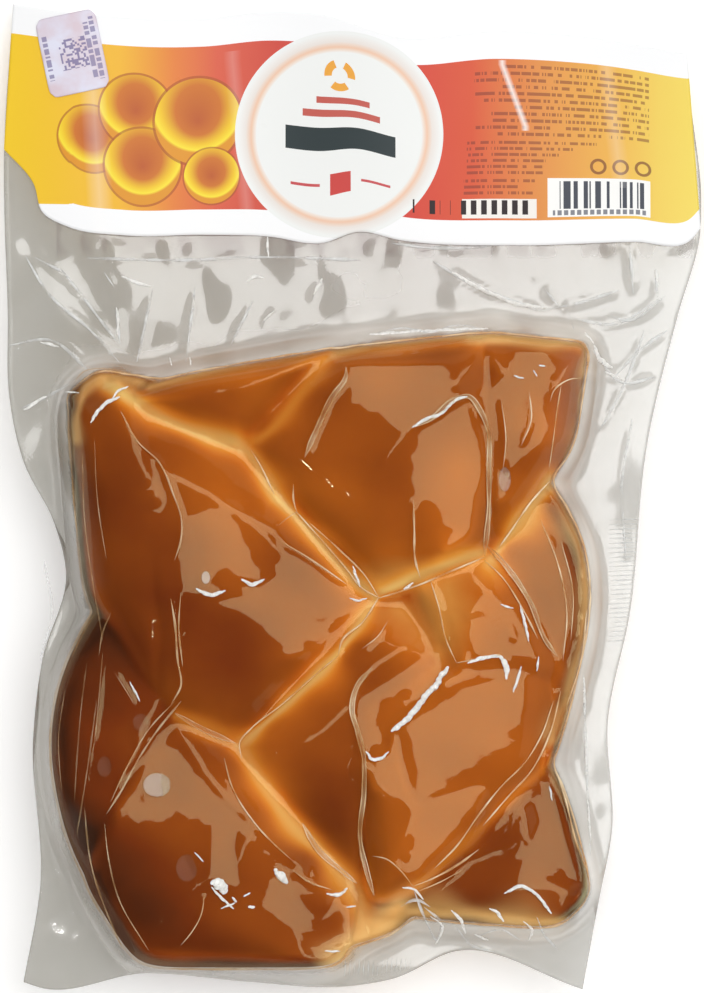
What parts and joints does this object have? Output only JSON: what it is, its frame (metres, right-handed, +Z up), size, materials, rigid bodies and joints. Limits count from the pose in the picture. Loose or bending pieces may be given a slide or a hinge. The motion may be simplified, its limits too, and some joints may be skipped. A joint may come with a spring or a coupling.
{
  "type": "smoked braided cheese in a vacuum bag",
  "caption": "Plump smoked cheese braid sealed in a clear vacuum bag with a folded header label, lying flat with its shown side up.",
  "frame": {"origin": "middle of the pack's outline, on the surface it lies on", "axes": "+Z up out of the shown side, +Y from the cheese to the header label, +X to the right as the shown side is read"},
  "size_m": [0.2029, 0.2869, 0.046],
  "materials": {
    "smoked_cheese": "waxy smoked rind under tight film",
    "clear_film": "clear glossy film",
    "printed_label": "coated print",
    "lilac_sticker": "satin paper"
  },
  "bodies": {
    "root": {"sealed_bag": "smoked_cheese", "header_label": "printed_label", "control_sticker": "lilac_sticker"}
  },
  "joints": []
}
